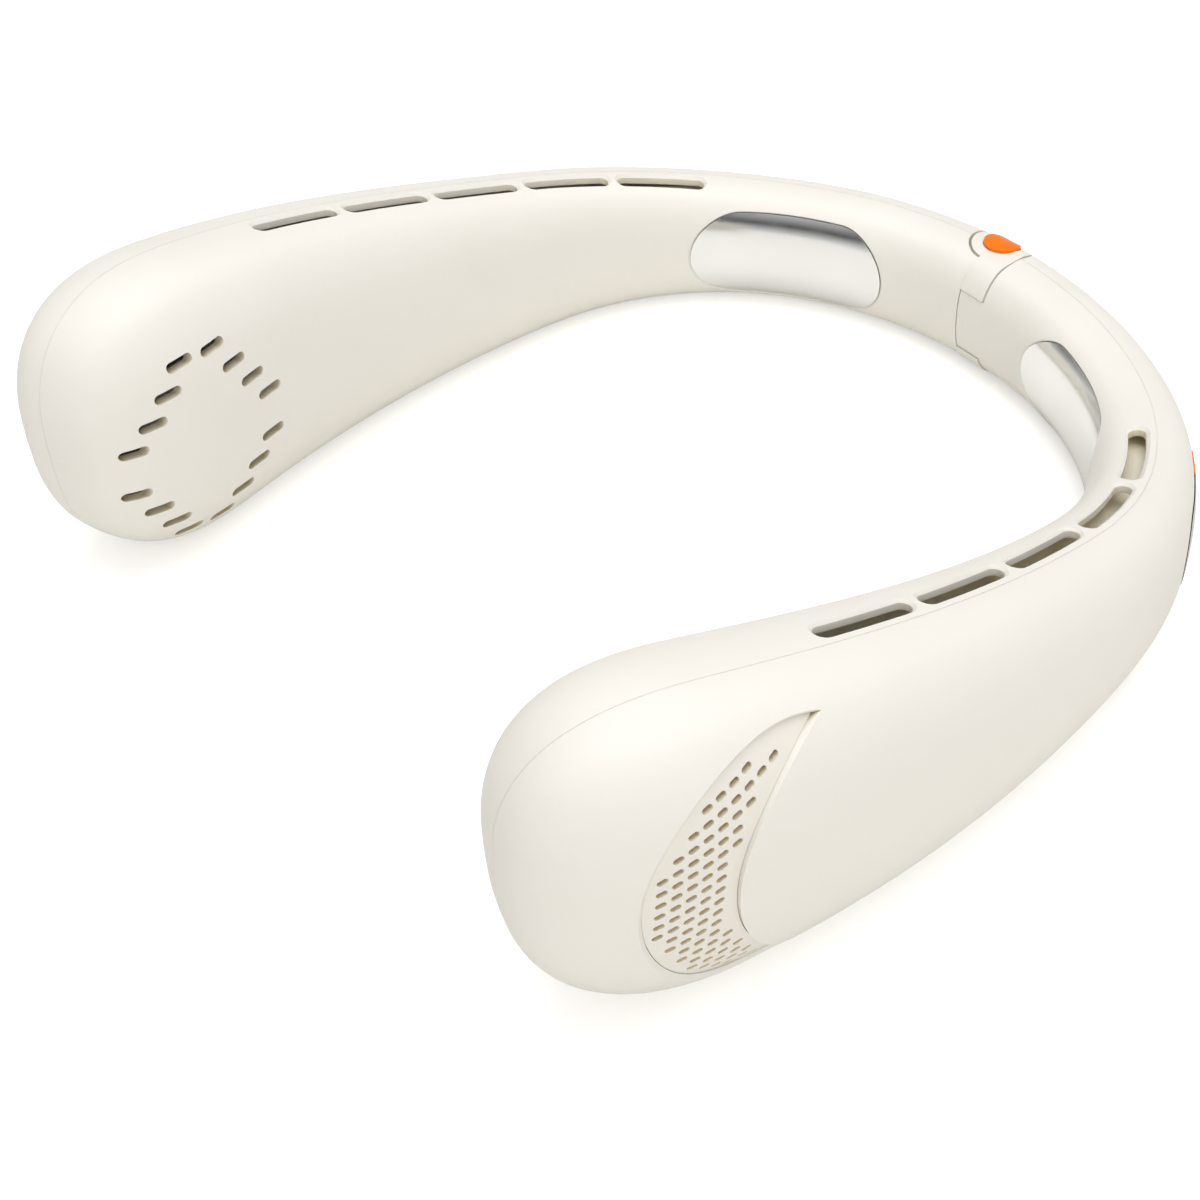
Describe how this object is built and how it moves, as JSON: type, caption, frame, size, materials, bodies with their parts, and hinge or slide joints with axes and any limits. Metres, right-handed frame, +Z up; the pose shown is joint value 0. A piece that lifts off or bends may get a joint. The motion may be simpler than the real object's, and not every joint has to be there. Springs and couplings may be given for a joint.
{
  "type": "electric neck fan",
  "caption": "Hands-free fan worn round the neck: hollow hinged arms that swell into fan bulbs, with outlet slots, cooling plates, intake grilles and a side control panel.",
  "frame": {"origin": "middle of the bounding box, on the table that the fan lies on", "axes": "+Z up from the table; +Y towards the hinge at the back of the neck; +X towards the arm that has the control panel"},
  "size_m": [0.1902, 0.1887, 0.0577],
  "materials": {
    "shell": "warm off-white, fine satin",
    "grille": "warm off-white, satin",
    "cooling_plate": "polished",
    "ceramic": "white ceramic faces",
    "heat_sink": "extruded, plain",
    "inner_plastic": "moulded, plain",
    "impeller": "moulded, plain",
    "circuit_board": "green solder mask",
    "bush": "sintered",
    "stator": "copper windings",
    "steel": "plain",
    "magnet": "bonded ferrite",
    "battery_wrap": "shrink wrap",
    "hinge_plastic": "warm off-white, satin",
    "orange_trim": "semi-gloss orange",
    "black_window": "glossy black",
    "switch": "black",
    "socket": "drawn sleeve"
  },
  "bodies": {
    "left_arm": {"left_inner_shell": "shell", "left_outer_shell": "shell", "left_intake_grille": "grille", "left_cooling_plate": "cooling_plate", "left_thermoelectric_module": "ceramic", "left_heat_sink": "heat_sink", "left_fan_housing": "inner_plastic", "left_motor_board": "circuit_board", "left_motor_bush": "bush", "left_motor_stator": "stator", "left_motor_screws": "steel", "left_battery": "battery_wrap", "left_hinge_fork": "hinge_plastic", "hinge_pin": "steel", "hinge_cap_top": "orange_trim", "hinge_cap_bottom": "orange_trim", "lower_hinge_washer": "steel", "upper_hinge_washer": "steel"},
    "right_arm": {"right_inner_shell": "shell", "right_outer_shell": "shell", "right_intake_grille": "grille", "right_cooling_plate": "cooling_plate", "right_thermoelectric_module": "ceramic", "right_heat_sink": "heat_sink", "right_fan_housing": "inner_plastic", "right_motor_board": "circuit_board", "right_motor_bush": "bush", "right_motor_stator": "stator", "right_motor_screws": "steel", "right_battery": "battery_wrap", "right_hinge_barrel": "hinge_plastic", "control_board": "circuit_board", "display_module": "inner_plastic", "display_lens": "black_window", "push_switch": "switch", "charging_socket": "socket"},
    "left_rotor": {"left_motor_shaft": "steel", "left_rotor_cup": "steel", "left_rotor_magnet": "magnet", "left_impeller": "impeller"},
    "right_rotor": {"right_motor_shaft": "steel", "right_rotor_cup": "steel", "right_rotor_magnet": "magnet", "right_impeller": "impeller"},
    "button": {"power_button": "orange_trim"}
  },
  "joints": [
    {"name": "arm_fold", "type": "hinge", "parent": "left_arm", "child": "right_arm", "pos_m": [0, 0.08785, 0.01325], "axis": [0, 0, 1], "range_deg": [0, 30]},
    {"name": "left_impeller_spin", "type": "hinge", "parent": "left_arm", "child": "left_rotor", "pos_m": [-0.0703, -0.07104, 0.0292], "axis": [-0.9669, -0.2553, 0], "continuous": true},
    {"name": "right_impeller_spin", "type": "hinge", "parent": "right_arm", "child": "right_rotor", "pos_m": [0.0703, -0.07104, 0.0292], "axis": [0.9669, -0.2553, 0], "continuous": true},
    {"name": "power_button_press", "type": "slide", "parent": "right_arm", "child": "button", "axis": [-0.8173, -0.5761, 0], "range_m": [0, 0.0005], "stiffness_N_per_m": 2000, "springref_m": -0.0003}
  ]
}
